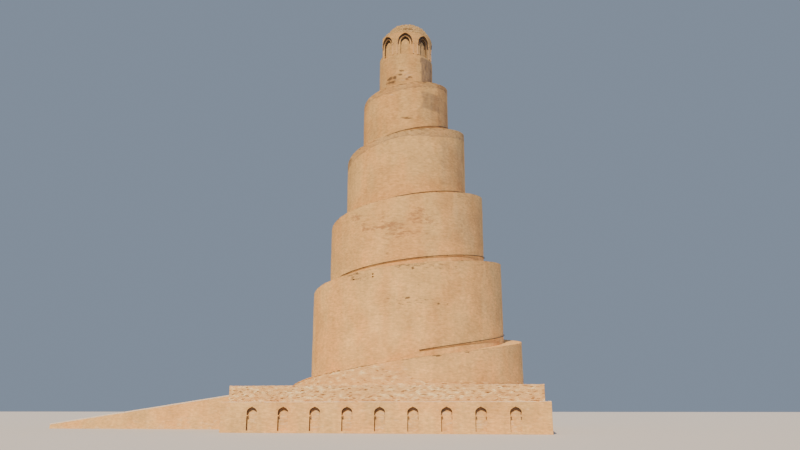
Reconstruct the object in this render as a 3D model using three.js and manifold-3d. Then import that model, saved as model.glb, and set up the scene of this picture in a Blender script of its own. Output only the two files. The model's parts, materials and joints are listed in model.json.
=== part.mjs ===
// A spiral brick minaret, as a 1:10 scale model in millimetres.
// A two-tiered square socle with blind niches carries a round tower. A ramp winds up the outside of
// the tower in five anticlockwise turns, to a drum with eight arched bays and a small room inside.
// Frame: +Z up, origin on the ground at the tower's axis, front at -Y, the approach ramp at -X.

import * as THREE from 'three';
import { mergeVertices } from 'three/addons/utils/BufferGeometryUtils.js';
import Module from 'manifold-3d';

const wasm = await Module();
wasm.setup();

// Scale. Sizes below are metres of the real tower, and m() turns them into model millimetres.
const MODEL_MM_PER_METRE = 100;
const JOINT = 0.3; // open joint between neighbouring pieces, in model millimetres
const m = (metres) => metres * MODEL_MM_PER_METRE;
const joint = JOINT / MODEL_MM_PER_METRE; // the same joint in metres of the real tower

// Socle
const lowerHalfSide = 16.5;
const lowerTop = 2.97;
const upperHalfSide = 15.91;
const terrace = 4.61;
const wallThickness = 1.2;
const nicheSpacing = 3.284;
const nichesPerSide = 9;
const socleNiche = { width: 1.09, foot: 0.2, springing: 2.0, apex: 2.52, depth: 0.3 };

// Approach ramp on the left side
const approachHalfWidth = 5.0;
const approachFootX = -43.75;
const approachFootTop = 0.44;
const approachHeadTop = 4.46;
const coping = { width: 0.4, height: 0.15 };

// Spiral. The outer wall is a chain of half circles, which join where they cross the X axis.
// These are the distances from the tower's axis to each crossing, on the left and on the right.
const leftReach = [13.9, 11.5, 9.52, 7.65, 5.63];
const rightReach = [13.97, 11.83, 9.75, 7.65, 5.58];
const drumRadius = 3.565;
// Height of the ramp at the start, and after each half turn
const rampHeights = [4.61, 10.05, 15.5, 19.6, 23.8, 28.3, 32.65, 37.1, 41.0, 43.7, 48.2];
const firstStep = 0.13; // the ramp begins as a low step on the terrace
const stepsPerHalfTurn = 24;
const rampStart = 3 / stepsPerHalfTurn; // where it begins, as a share of the first half turn
const rampLevelsOff = 23 / stepsPerHalfTurn; // where the last half turn reaches the door's sill
const lastLeftReach = 4.58; // of the last half turn, before it is cut straight in front of the door

// Crown: the drum's upper storey
const crownFoot = 47.7;
const crownTop = 50.95;
const roofTop = 52.53;
const bayCount = 8;
const firstBayDegrees = 7.5;
const doorBayDegrees = 187.5;
const baySteps = 6;
const roomRadius = 2.2;
const doorFaceDistance = 3.11; // the door's face is flat, and this far from the axis
const outerArch = { width: 1.96, foot: 47.73, springing: 49.55, apex: 50.83, depth: 0.2 };
const innerArch = { width: 1.25, foot: 47.73, springing: 49.5, apex: 50.45, depth: 0.45 };
const doorway = { width: 1.1, foot: 48.2, springing: 49.5, apex: 50.35 };
const roofShoulder = { radius: 3.6, height: 51.05 }; // the roof's worn edge slopes in from here
const roofPlatformRadius = 2.64;
const roofWear = { side: 0.2, top: 0.15 }; // more wear over the door: a share inwards, metres down

// Handrail: a steel pipe on wall brackets
const railHeights = [0.85, 0.95, 0.62, 0.95, 0.88]; // of each turn's rail, above the ramp
const railOffset = 0.09;
const railRadius = 0.04;
const bracketRadius = 0.02;
// Where each turn's rail starts and ends, in steps of the half turns counted from the start
const railRuns = [[14, 51], [54, 100], [103, 148], [151, 196], [199, 233]];
const bracketSpacing = [2, 2, 3, 4, 6]; // steps between brackets, wider as the turns get smaller

const brick = new THREE.MeshStandardMaterial({ color: '#c9a67e', roughness: 0.95, metalness: 0 });
const paleBrick = new THREE.MeshStandardMaterial({ color: '#d3b893', roughness: 0.97, metalness: 0 });
const dressing = new THREE.MeshStandardMaterial({ color: '#e0cdb0', roughness: 0.9, metalness: 0 });
const steel = new THREE.MeshStandardMaterial({ color: '#5d4936', roughness: 0.6, metalness: 0.7 });

const minaret = new THREE.Group();

function addPiece(name, geometry, material) {
  const mesh = new THREE.Mesh(geometry, material);
  mesh.name = name;
  minaret.add(mesh);
}

// Solids for cutting and joining

function toSolid(geometry) {
  const bare = geometry.index ? geometry.clone() : geometry;
  bare.deleteAttribute('normal');
  bare.deleteAttribute('uv');
  const merged = mergeVertices(bare, 1e-3);
  return new wasm.Manifold(new wasm.Mesh({
    numProp: 3,
    vertProperties: new Float32Array(merged.attributes.position.array),
    triVerts: new Uint32Array(merged.index.array),
  }));
}

function toGeometry(solid) {
  const { vertProperties, triVerts } = solid.getMesh();
  const geometry = new THREE.BufferGeometry();
  geometry.setAttribute('position', new THREE.BufferAttribute(new Float32Array(vertProperties), 3));
  geometry.setIndex(new THREE.BufferAttribute(new Uint32Array(triVerts), 1));
  geometry.computeVertexNormals();
  return geometry;
}

// A box between two corners given in real metres, with each side drawn in by half a joint
const ground = -joint / 2; // a block that starts here stands on the ground

function block(low, high) {
  const size = low.map((value, axis) => m(high[axis] - value) - JOINT);
  const geometry = new THREE.BoxGeometry(...size);
  geometry.translate(...low.map((value, axis) => m((high[axis] + value) / 2)));
  return geometry;
}

// A box with its long way cut into steps and each vertex put in place by a function of three
// numbers from 0 to 1: along, inwards and up
function bentBox(steps, place) {
  const geometry = new THREE.BoxGeometry(1, 1, 1, steps, 1, 1);
  const position = geometry.attributes.position;
  for (let i = 0; i < position.count; i += 1) {
    const at = place(position.getX(i) + 0.5, position.getY(i) + 0.5, position.getZ(i) + 0.5);
    position.setXYZ(i, at.x, at.y, at.z);
  }
  geometry.computeVertexNormals();
  return geometry;
}

// A pointed arch standing on the X axis of a drawing, as a body that lies along Z
function archBody(arch, depth) {
  const half = m(arch.width / 2);
  const springing = m(arch.springing);
  const apex = m(arch.apex);
  const shoulder = springing + 0.72 * (apex - springing);
  const outline = new THREE.Shape();
  outline.moveTo(-half, m(arch.foot));
  outline.lineTo(half, m(arch.foot));
  outline.lineTo(half, springing);
  outline.quadraticCurveTo(half, shoulder, 0, apex);
  outline.quadraticCurveTo(-half, shoulder, -half, springing);
  outline.closePath();
  return new THREE.ExtrudeGeometry(outline, { depth, bevelEnabled: false, curveSegments: 7 });
}

// The same arch stood up, to cut from a wall: its outer end is at a distance from the tower's axis
// along a plan angle, and it reaches inwards by its depth
function archCutter(arch, outside, depth, angle, along = 0) {
  const geometry = archBody(arch, depth);
  geometry.translate(m(along), 0, outside - depth);
  geometry.rotateX(Math.PI / 2);
  geometry.rotateZ(Math.PI);
  geometry.rotateZ(angle - Math.PI / 2);
  return toSolid(geometry);
}

// Socle: the facing walls of the lower tier, each with its row of blind niches

const nicheProud = m(0.1); // how far a cutter stands out of the face that it cuts

function nichedWall(name, low, high, angle) {
  let wall = toSolid(block(low, high));
  const firstNiche = -(nichesPerSide - 1) / 2;
  for (let i = 0; i < nichesPerSide; i += 1) {
    const along = (firstNiche + i) * nicheSpacing;
    const cutter = archCutter(
      socleNiche, m(lowerHalfSide) + nicheProud, m(socleNiche.depth) + nicheProud, angle, along);
    wall = wall.subtract(cutter);
  }
  addPiece(name, toGeometry(wall), brick);
}

const L = lowerHalfSide;
const inside = lowerHalfSide - wallThickness;
nichedWall('lower_tier_front_wall', [-L, -L, ground], [L, -inside, lowerTop], -Math.PI / 2);
nichedWall('lower_tier_back_wall', [-L, inside, ground], [L, L, lowerTop], Math.PI / 2);
nichedWall('lower_tier_right_wall', [inside, -inside, ground], [L, inside, lowerTop], 0);
const A = approachHalfWidth;
nichedWall('lower_tier_left_wall_front', [-L, -inside, ground], [-inside, -A, lowerTop], Math.PI);
nichedWall('lower_tier_left_wall_back', [-L, A, ground], [-inside, inside, lowerTop], Math.PI);
addPiece('lower_tier_fill', block([-inside, -inside, ground], [inside, inside, lowerTop]), brick);

// Socle: the upper tier, set back, with worn facing walls round a fill that carries the terrace

const U = upperHalfSide;
const upperInside = upperHalfSide - wallThickness;
const upperWalls = {
  upper_tier_front_wall: [[-U, -U, lowerTop], [U, -upperInside, terrace]],
  upper_tier_back_wall: [[-U, upperInside, lowerTop], [U, U, terrace]],
  upper_tier_left_wall: [[-U, -upperInside, lowerTop], [-upperInside, upperInside, terrace]],
  upper_tier_right_wall: [[upperInside, -upperInside, lowerTop], [U, upperInside, terrace]],
};
for (const [name, [low, high]] of Object.entries(upperWalls)) {
  addPiece(name, block(low, high), paleBrick);
}
const terraceCorner = [upperInside, upperInside, terrace];
addPiece('terrace', block([-upperInside, -upperInside, lowerTop], terraceCorner), paleBrick);

// Approach ramp: one sloping mass with a coping along each side. It runs in under the upper tier.

const upperFaceX = -upperHalfSide;
const approachSlope = (approachHeadTop - approachFootTop) / (upperFaceX - approachFootX);

// Extrudes a side view, drawn in X and Z, across the ramp
function acrossRamp(points, nearY, farY) {
  const outline = new THREE.Shape(points.map(([x, z]) => new THREE.Vector2(m(x), m(z))));
  const depth = m(farY - nearY) - JOINT;
  const geometry = new THREE.ExtrudeGeometry(outline, { depth, bevelEnabled: false });
  geometry.rotateX(Math.PI / 2);
  geometry.translate(0, m(farY) - JOINT / 2, 0);
  return geometry;
}

const behindWallX = -inside - joint;
const headX = upperFaceX - joint;
addPiece('approach_ramp', acrossRamp([
  [approachFootX, 0],
  [behindWallX, 0],
  [behindWallX, lowerTop - joint],
  [headX, lowerTop - joint],
  [headX, approachHeadTop],
  [approachFootX, approachFootTop],
], -A, A), brick);

const copingOutline = [
  [approachFootX, approachFootTop + joint],
  [headX, approachHeadTop + joint],
  [headX, approachHeadTop + coping.height],
  [approachFootX, approachFootTop + coping.height],
];
const copingInner = A - coping.width;
addPiece('approach_coping_front', acrossRamp(copingOutline, -A, -copingInner), dressing);
addPiece('approach_coping_back', acrossRamp(copingOutline, copingInner, A), dressing);

// Spiral tower: each half turn is one mass of brickwork, from the terrace up to the ramp

function halfTurnCircle(half) {
  const turn = Math.floor(half / 2);
  if (turn >= rightReach.length) {
    return { centre: 0, radius: drumRadius };
  }
  const right = rightReach[turn];
  const left = half % 2 === 0 ? leftReach[turn] : leftReach[turn + 1] ?? lastLeftReach;
  return { centre: (right - left) / 2, radius: (right + left) / 2 };
}

const doorAngle = THREE.MathUtils.degToRad(doorBayDegrees);
const doorDirection = new THREE.Vector2(Math.cos(doorAngle), Math.sin(doorAngle));
const lastHalfTurn = 2 * rightReach.length - 1;

// A point of the outer wall's plan, a share of the way along a half turn and out from the wall by
// an offset in metres. The last half turn ends along a straight edge that touches the drum at the
// door.
function wallPoint(half, share, offset = 0) {
  const { centre, radius } = halfTurnCircle(half);
  const angle = Math.PI * (1 + half + share);
  const point = new THREE.Vector2(Math.cos(angle), Math.sin(angle)).multiplyScalar(radius + offset);
  point.x += centre;
  if (half === lastHalfTurn) {
    const beyondEdge = point.dot(doorDirection) - (drumRadius + offset);
    point.addScaledVector(doorDirection, -Math.max(beyondEdge, 0));
  }
  return point.multiplyScalar(MODEL_MM_PER_METRE);
}

function rampHeight(half, share) {
  const low = rampHeights[half];
  const high = rampHeights[half + 1];
  if (half === 0) {
    const climbed = (share - rampStart) / (1 - rampStart);
    return m(THREE.MathUtils.lerp(low + firstStep, high, climbed));
  }
  if (half === lastHalfTurn) {
    return m(THREE.MathUtils.lerp(low, high, Math.min(share / rampLevelsOff, 1)));
  }
  return m(THREE.MathUtils.lerp(low, high, share));
}

function halfTurn(name, half) {
  const from = half === 0 ? rampStart : 0;
  const to = half === lastHalfTurn ? rampLevelsOff : 1;
  const steps = Math.round((to - from) * stepsPerHalfTurn);
  const endJoint = joint / 2 / (Math.PI * halfTurnCircle(half).radius);
  const geometry = bentBox(steps, (along, inwards, up) => {
    let share = from + (to - from) * along;
    share = THREE.MathUtils.clamp(share, from + endJoint, to - endJoint);
    const outer = wallPoint(half, share);
    const inner = wallPoint(half + 2, share, joint);
    const at = outer.lerp(inner, inwards);
    const z = THREE.MathUtils.lerp(m(terrace) + JOINT / 2, rampHeight(half, share), up);
    return new THREE.Vector3(at.x, at.y, z);
  });
  addPiece(name, geometry, brick);
}

for (let turn = 1; turn <= rightReach.length; turn += 1) {
  halfTurn(`turn_${turn}_front`, 2 * turn - 2);
  halfTurn(`turn_${turn}_back`, 2 * turn - 1);
}

// Handrail of each turn: a pipe along the inner wall of the ramp, held off it by short brackets

function railPoint(step, offset, height) {
  const half = Math.floor(step / stepsPerHalfTurn);
  const share = step / stepsPerHalfTurn - half;
  const at = wallPoint(half + 2, share, offset);
  return new THREE.Vector3(at.x, at.y, rampHeight(half, share) + m(height));
}

function rod(start, end, radius) {
  const along = end.clone().sub(start);
  const geometry = new THREE.CylinderGeometry(radius, radius, along.length(), 5);
  const turn = new THREE.Quaternion().setFromUnitVectors(new THREE.Vector3(0, 1, 0), along.normalize());
  geometry.applyQuaternion(turn);
  geometry.translate(...start.clone().add(end).multiplyScalar(0.5));
  return geometry;
}

// The pipe is a cylinder bent along the wall, with one ring of vertices at each of the wall's steps
function handrail(name, height, [firstStepOfRun, lastStepOfRun], spacing) {
  const steps = lastStepOfRun - firstStepOfRun;
  const pipe = new THREE.CylinderGeometry(railRadius, railRadius, 1, 6, steps);
  const position = pipe.attributes.position;
  for (let i = 0; i < position.count; i += 1) {
    const step = firstStepOfRun + Math.round((position.getY(i) + 0.5) * steps);
    const at = railPoint(step, railOffset + position.getX(i), height + position.getZ(i));
    position.setXYZ(i, at.x, at.y, at.z);
  }
  let rail = toSolid(pipe);
  for (let step = firstStepOfRun + 1; step < lastStepOfRun; step += spacing) {
    const middle = railPoint(step, railOffset, height);
    const bracket = rod(middle, railPoint(step, joint, height), m(bracketRadius));
    rail = rail.add(toSolid(bracket));
  }
  addPiece(name, toGeometry(rail), steel);
}

railRuns.forEach((run, turn) => {
  handrail(`turn_${turn + 1}_handrail`, railHeights[turn], run, bracketSpacing[turn]);
});

// Core and drum: the round shaft inside the ramps, which stands clear of them at the top

const shaftSplit = 40.0;

function shaft(name, low, high, radius) {
  const height = m(high - low) - JOINT;
  const geometry = new THREE.CylinderGeometry(radius, radius, height, 2 * stepsPerHalfTurn);
  geometry.rotateX(Math.PI / 2);
  geometry.translate(0, 0, m((low + high) / 2));
  addPiece(name, geometry, brick);
}

shaft('core', terrace, shaftSplit, m(drumRadius));
shaft('drum', shaftSplit, crownFoot, m(drumRadius));
shaft('room_floor', crownFoot, doorway.foot, m(roomRadius) - 2 * JOINT);

// Crown: eight bays round the room. Seven have a blind niche in an arched frame. The one at the
// ramp's end has the doorway, in a flat face that also trims the edges of its neighbours.

const bayWidth = (2 * Math.PI) / bayCount;
const reach = m(1.0); // how far a cutter stands clear of what it cuts

function crownBay(angle, low, high) {
  const outerJoint = JOINT / 2 / m(drumRadius);
  return toSolid(bentBox(baySteps, (along, inwards, up) => {
    const turnBy = (along - 0.5) * (bayWidth - 2 * outerJoint);
    const radius = THREE.MathUtils.lerp(m(drumRadius), m(roomRadius), inwards);
    const z = THREE.MathUtils.lerp(m(low) + JOINT / 2, m(high) - JOINT / 2, up);
    return new THREE.Vector3(radius * Math.cos(angle + turnBy), radius * Math.sin(angle + turnBy), z);
  }));
}

// A box that reaches outwards along the door's direction, between two offsets to its side
function doorBox(nearest, farthest, sideLow, sideHigh, low, high) {
  const geometry = new THREE.BoxGeometry(m(farthest - nearest), m(sideHigh - sideLow), m(high - low));
  geometry.translate(m((nearest + farthest) / 2), m((sideLow + sideHigh) / 2), m((low + high) / 2));
  geometry.rotateZ(doorAngle);
  return toSolid(geometry);
}

const far = 2 * drumRadius;
const frontOfDoor = doorBox(
  doorFaceDistance, far, -drumRadius, drumRadius, doorway.foot, roofTop + crownFoot);

for (let i = 0; i < bayCount; i += 1) {
  const degrees = firstBayDegrees + i * (360 / bayCount);
  if (degrees !== doorBayDegrees) {
    const angle = THREE.MathUtils.degToRad(degrees);
    const outside = m(drumRadius) + reach;
    const frame = archCutter(outerArch, outside, m(outerArch.depth) + reach, angle);
    const niche = archCutter(innerArch, outside, m(innerArch.depth) + reach, angle);
    const bay = crownBay(angle, crownFoot, crownTop).subtract(frame).subtract(niche);
    addPiece(`crown_bay_${i + 1}`, toGeometry(bay.subtract(frontOfDoor)), brick);
  }
}

const doorHalf = doorway.width / 2;
const doorBay = crownBay(doorAngle, doorway.foot, crownTop).subtract(frontOfDoor);
const doorOpening = archCutter(doorway, m(far), m(far), doorAngle);
const doorPieces = {
  door_jamb_front: [doorHalf, drumRadius, doorway.foot, doorway.springing - joint],
  door_jamb_back: [-drumRadius, -doorHalf, doorway.foot, doorway.springing - joint],
  door_arch: [-drumRadius, drumRadius, doorway.springing, crownTop],
};
for (const [name, [sideLow, sideHigh, low, high]] of Object.entries(doorPieces)) {
  const piece = doorBay.intersect(doorBox(0, far, sideLow, sideHigh, low, high)).subtract(doorOpening);
  addPiece(name, toGeometry(piece), brick);
}
addPiece('door_sill', toGeometry(crownBay(doorAngle, crownFoot, doorway.foot)), brick);

// Roof: a round platform whose edge is worn to a slope, most of all over the flat face of the door

const roofProfile = new THREE.Path();
roofProfile.moveTo(0, m(crownTop) + JOINT / 2);
roofProfile.lineTo(m(drumRadius), m(crownTop) + JOINT / 2);
roofProfile.quadraticCurveTo(
  m(roofShoulder.radius), m(roofShoulder.height), m(roofPlatformRadius), m(roofTop));
roofProfile.lineTo(0, m(roofTop));
const roof = new THREE.LatheGeometry(roofProfile.getPoints(6), 2 * stepsPerHalfTurn);
roof.rotateX(Math.PI / 2);
const roofPosition = roof.attributes.position;
for (let i = 0; i < roofPosition.count; i += 1) {
  const at = new THREE.Vector2(roofPosition.getX(i), roofPosition.getY(i));
  const z = roofPosition.getZ(i);
  const towardsDoor = Math.max(at.clone().normalize().dot(doorDirection), 0);
  const wear = towardsDoor ** 2 * THREE.MathUtils.inverseLerp(m(crownTop) + JOINT / 2, m(roofTop), z);
  const rim = Math.min(doorFaceDistance / towardsDoor, drumRadius);
  at.multiplyScalar((rim / drumRadius) * (1 - roofWear.side * wear));
  roofPosition.setXYZ(i, at.x, at.y, z - m(roofWear.top) * wear);
}
addPiece('roof', toGeometry(toSolid(roof)), brick);

export default minaret;
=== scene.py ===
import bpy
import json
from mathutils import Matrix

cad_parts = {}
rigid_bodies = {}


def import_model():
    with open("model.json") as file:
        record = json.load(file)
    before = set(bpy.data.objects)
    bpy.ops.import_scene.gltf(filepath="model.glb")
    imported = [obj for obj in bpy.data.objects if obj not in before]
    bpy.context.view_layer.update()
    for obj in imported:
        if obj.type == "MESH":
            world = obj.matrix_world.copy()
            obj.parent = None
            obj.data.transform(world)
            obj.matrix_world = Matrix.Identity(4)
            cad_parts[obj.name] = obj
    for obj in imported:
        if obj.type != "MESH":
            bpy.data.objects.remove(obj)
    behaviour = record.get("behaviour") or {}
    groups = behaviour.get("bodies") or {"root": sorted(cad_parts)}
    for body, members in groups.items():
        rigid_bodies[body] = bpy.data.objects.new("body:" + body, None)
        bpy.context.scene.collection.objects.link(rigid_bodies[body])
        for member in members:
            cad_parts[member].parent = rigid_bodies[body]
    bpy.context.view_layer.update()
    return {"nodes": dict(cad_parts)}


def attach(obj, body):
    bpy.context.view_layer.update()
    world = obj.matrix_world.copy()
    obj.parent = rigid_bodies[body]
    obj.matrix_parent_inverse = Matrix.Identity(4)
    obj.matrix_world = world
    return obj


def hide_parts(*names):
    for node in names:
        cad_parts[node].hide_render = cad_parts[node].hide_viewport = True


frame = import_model()

import json
import math
import random

import bmesh
import bpy
from mathutils import Matrix, Vector, noise

# The view and the light. The camera stands at eye height in front of the socle and looks up. The key
# light stands for the high sun, and a wide cool fill light and the pale room for the sky.
MODEL = 0.1  # model metres for each metre of the real tower, which all sizes below are in

scene = bpy.context.scene
camera = bpy.data.objects.new("camera", bpy.data.cameras.new("camera"))
camera.location = Vector((13.942, -85.452, 2.268)) * MODEL
camera.rotation_euler = (math.radians(104.85), 0, math.radians(9.81))
camera.data.sensor_width = 36
camera.data.lens = 31.3
camera.data.clip_end = 200
scene.collection.objects.link(camera)
scene.camera = camera


def linear(hex_colour):
    """The linear value of an sRGB hex colour, for a shader's socket."""
    shares = [int(hex_colour[i:i + 2], 16) / 255 for i in (1, 3, 5)]
    return (*(c / 12.92 if c <= 0.04045 else ((c + 0.055) / 1.055) ** 2.4 for c in shares), 1)


def add_node(tree, kind, inputs=None, **settings):
    """A shader node with its settings and inputs: values, sockets, or nodes for their first output."""
    node = tree.nodes.new("ShaderNode" + kind)
    for setting, value in settings.items():
        setattr(node, setting, value)
    for socket, value in (inputs or {}).items():
        if isinstance(value, bpy.types.Node):
            value = value.outputs[0]
        if isinstance(value, bpy.types.NodeSocket):
            tree.links.new(value, node.inputs[socket])
        else:
            node.inputs[socket].default_value = value
    return node


def bare_material(name):
    """A new material with nothing in it but its output."""
    material = bpy.data.materials.new(name)
    material.use_nodes = True
    material.node_tree.nodes.clear()
    return material, material.node_tree


def as_object(bm, name, material):
    """The finished mesh of a piece as an object at the origin."""
    mesh = bpy.data.meshes.new(name)
    bm.to_mesh(mesh)
    bm.free()
    mesh.materials.append(material)
    piece = bpy.data.objects.new(name, mesh)
    scene.collection.objects.link(piece)
    return piece


for name, towards, energy, width, colour in (
        ("key_light", (-0.109, -0.686, 0.719), 5.5, 2, "#ffe8cc"),
        ("fill_light", (0.9, -0.1, 0.42), 0.93, 80, "#96bbff")):
    light = bpy.data.objects.new(name, bpy.data.lights.new(name, "SUN"))
    light.data.energy = energy
    light.data.angle = math.radians(width)
    light.data.color = linear(colour)[:3]
    light.rotation_euler = (-Vector(towards)).to_track_quat("-Z", "Y").to_euler()
    scene.collection.objects.link(light)

room = bpy.data.worlds.new("pale_room")
room.use_nodes = True
room.node_tree.nodes.clear()
room_colour = add_node(room.node_tree, "Background", {"Color": linear("#c8dbf6"), "Strength": 0.39})
add_node(room.node_tree, "OutputWorld", {"Surface": room_colour})
scene.world = room

bm = bmesh.new()
bmesh.ops.create_grid(bm, x_segments=1, y_segments=1, size=60)
bmesh.ops.translate(bm, verts=bm.verts, vec=(0, 0, -0.0002))
painted_floor, tree = bare_material("matt_painted_floor")
paint = add_node(tree, "BsdfPrincipled", {"Base Color": linear("#cfc9bf"), "Roughness": 0.8})
add_node(tree, "OutputMaterial", {"Surface": paint})
floor = as_object(bm, "floor", painted_floor)

# Socle, lower tier: a facing of sun-baked brick, 33 m a side, with a row of blind pointed niches.
# The bricks are 27 cm long, in courses of 8 cm with flush mud joints, laid in running bond.
BRICK = Vector((0.27, 0.135, 0.08))
JOINT = 0.003
lower_reach = 16.5
lower_top = 2.97
niche = {"half_width": 0.545, "springing": 2.0, "apex": 2.52, "depth": 0.3, "spacing": 3.284}


def sun_baked_brick(name, light, dark, mortar):
    """Fired mud brick. It has no gloss, its faces are pitted, and its joints lie almost flush. The
    weather attribute says where it is spalled (red), bleached (green) and stained (blue), and the
    shade attribute by what share an area is lighter or darker. In the niches and arch recesses
    the red and blue and the shade also carry painted shade and shadow, laid with the soot."""
    material, tree = bare_material(name)
    uv = add_node(tree, "UVMap", uv_map="UVMap").outputs["UV"]
    place = add_node(tree, "TexCoord").outputs["Object"]
    weather_and_shade = add_node(tree, "Attribute", attribute_name="weather_and_shade").outputs["Color"]
    wear_and_shade = add_node(tree, "SeparateColor", {"Color": weather_and_shade})
    area = add_node(tree, "Attribute", attribute_name="shade").outputs["Fac"]
    # The brick pattern is in units of a hundredth of a metre of the model
    courses = add_node(tree, "TexBrick", {
        "Vector": uv, "Color1": linear(light), "Color2": linear(dark), "Mortar": linear(mortar),
        "Scale": 100, "Mortar Size": 0.07, "Mortar Smooth": 0.3, "Bias": -0.15,
        "Brick Width": 2.7, "Row Height": 0.8})
    # Stretched noises: batches of 4 m and more, blotches of 3 m, streaks of 70 by 15 cm along the
    # courses, rain runs down the wall, spots of 40 cm, and ragged patches of 60 by 20 cm
    noises = []
    for stretch, detail, roughness in (
            ((3.4, 3.4, 1.5), 4, 0.5), ((3.4, 3.4, 3.4), 7, 0.66), ((14, 14, 66), 5, 0.65),
            ((17, 17, 1.6), 4, 0.55), ((22, 22, 40), 3, 0.6), ((15, 15, 48), 8, 0.72)):
        stretched = add_node(tree, "Mapping", {"Vector": place, "Scale": stretch})
        noises.append(add_node(tree, "TexNoise", {
            "Vector": stretched, "Scale": 1, "Detail": detail, "Roughness": roughness}))
    batches, *mottles, ragged = noises
    # Some batches were fired redder than the rest
    redder = add_node(tree, "MapRange", {"Value": batches, "From Min": 0.42, "From Max": 0.6})
    batch = add_node(tree, "Mix", {
        0: redder, 6: courses.outputs["Color"], 7: linear("#fff3ea")},
        data_type="RGBA", blend_type="MULTIPLY")
    # The mottles darken and lighten the brick, and its colour runs from 7 per cent lighter at the foot
    # to 22 per cent darker at 5.2 m up the model
    height = add_node(tree, "SeparateXYZ", {"Vector": place}).outputs["Z"]
    shares = [add_node(tree, "MapRange", {
        "Value": mottle, "From Min": 0.3, "From Max": 0.7, "To Min": least, "To Max": most})
        for mottle, least, most in zip(mottles, (0.85, 0.88, 0.95, 0.87), (1.14, 1.11, 1.05, 1.12))]
    shares.append(add_node(tree, "MapRange", {
        "Value": height, "From Max": 5.2, "To Min": 1.07, "To Max": 0.78}))
    colour = batch.outputs[2]
    for share in shares:
        colour = add_node(tree, "VectorMath", {0: colour, "Scale": share}, operation="SCALE")
    # The ragged noise decides where each kind of wear, and the painted shade laid in the same
    # channels, breaks through
    for channel, tint, full, strength in (
            (0, "#9c6d48", 0.85, 0.72), (1, "#f2e1c4", 1.0, 0.7), (2, "#58432f", 0.86, 0.82)):
        edge = add_node(tree, "Math", {0: ragged, 1: wear_and_shade.outputs[channel]}, operation="ADD")
        spread = add_node(tree, "MapRange", {
            "Value": edge, "From Min": 0.7, "From Max": full, "To Max": strength})
        colour = add_node(tree, "Mix", {
            0: spread, 6: colour, 7: linear(tint)}, data_type="RGBA").outputs[2]
    # The shade attribute darkens for stains and for painted shade alike, least in the blue, so a
    # darker area is greyer too
    grime = add_node(tree, "VectorMath", {
        0: area, 1: (1, 0.95, 0.6), 2: (1, 1, 1)}, operation="MULTIPLY_ADD")
    grimed_and_shaded = add_node(tree, "VectorMath", {0: colour, 1: grime}, operation="MULTIPLY")
    # Relief: joints 3 mm back on the real wall, and pits of about 2 cm
    pits = add_node(tree, "TexNoise", {"Vector": place, "Scale": 420, "Detail": 3, "Roughness": 0.7})
    raised = add_node(tree, "Math", {0: pits, 1: courses.outputs["Fac"]}, operation="SUBTRACT")
    bump = add_node(tree, "Bump", {"Height": raised, "Strength": 0.6, "Distance": 0.0007})
    surface = add_node(tree, "BsdfPrincipled", {
        "Base Color": grimed_and_shaded, "Roughness": 0.94, "Diffuse Roughness": 0.1,
        "Specular IOR Level": 0.25, "Normal": bump})
    add_node(tree, "OutputMaterial", {"Surface": surface})
    return material


tan_brick = sun_baked_brick("sun_baked_brick", "#e5bc7b", "#d9ad6d", "#c7a16c")


def joined_copies(*nodes):
    """A mesh of some CAD nodes, with the loose triangles of each joined into whole faces."""
    bm = bmesh.new()
    for node in nodes:
        part = bmesh.new()
        part.from_mesh(frame["nodes"][node].data)
        bmesh.ops.remove_doubles(part, verts=part.verts, dist=1e-6)
        bmesh.ops.dissolve_limit(part, angle_limit=math.radians(1), verts=part.verts, edges=part.edges)
        joined = bpy.data.meshes.new(node + "_joined")
        part.to_mesh(joined)
        part.free()
        bm.from_mesh(joined)
        bpy.data.meshes.remove(joined)
    return bm


def soften_corners(bm, width, spared=lambda vert: False):
    """Wears the sharp corners of a mesh round, as brick corners are, but for the spared ones."""
    sharp = [e for e in bm.edges if e.calc_face_angle(0) > math.radians(40)
             and not all(spared(vert) for vert in e.verts)]
    bmesh.ops.bevel(bm, geom=sharp, offset=width * MODEL, segments=2, profile=0.5,
                    affect="EDGES", material=-1)


def lay_flat_uv(bm):
    """A UV in metres for flat walls: along the wall and up it, or across it where it lies flat."""
    uv = bm.loops.layers.uv.new("UVMap")
    for face in bm.faces:
        axis = max(range(3), key=lambda i: abs(face.normal[i]))
        across, up = ((1, 2), (0, 2), (0, 1))[axis]
        for loop in face.loops:
            loop[uv].uv = (loop.vert.co[across], loop.vert.co[up])


lower_walls = ["lower_tier_front_wall", "lower_tier_back_wall", "lower_tier_right_wall",
               "lower_tier_left_wall_front", "lower_tier_left_wall_back"]
bm = joined_copies(*lower_walls)
bmesh.ops.triangulate(bm, faces=[f for f in bm.faces if len(f.verts) > 4])
soften_corners(bm, 0.012)


def soot_and_shadow_under_arch(arch, across, z):
    """How dark the back of a niche is at a place, with soot and the painted shadow of its arch: fully
    so in a strip 28 cm wide below its arch.
    """
    t = math.sqrt(max(0, 1 - abs(across) / arch["half_width"]))
    head = arch["springing"] + (arch["apex"] - arch["springing"]) * t * (1.44 - 0.44 * t)
    return min(max((z - head + 0.36) / 0.08, 0), 1)


def depth_in_wall(face):
    """How far back a face lies behind the tier's outer face, in metres."""
    middle = face.calc_center_median()
    return lower_reach - max(abs(middle.x), abs(middle.y)) / MODEL


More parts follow.
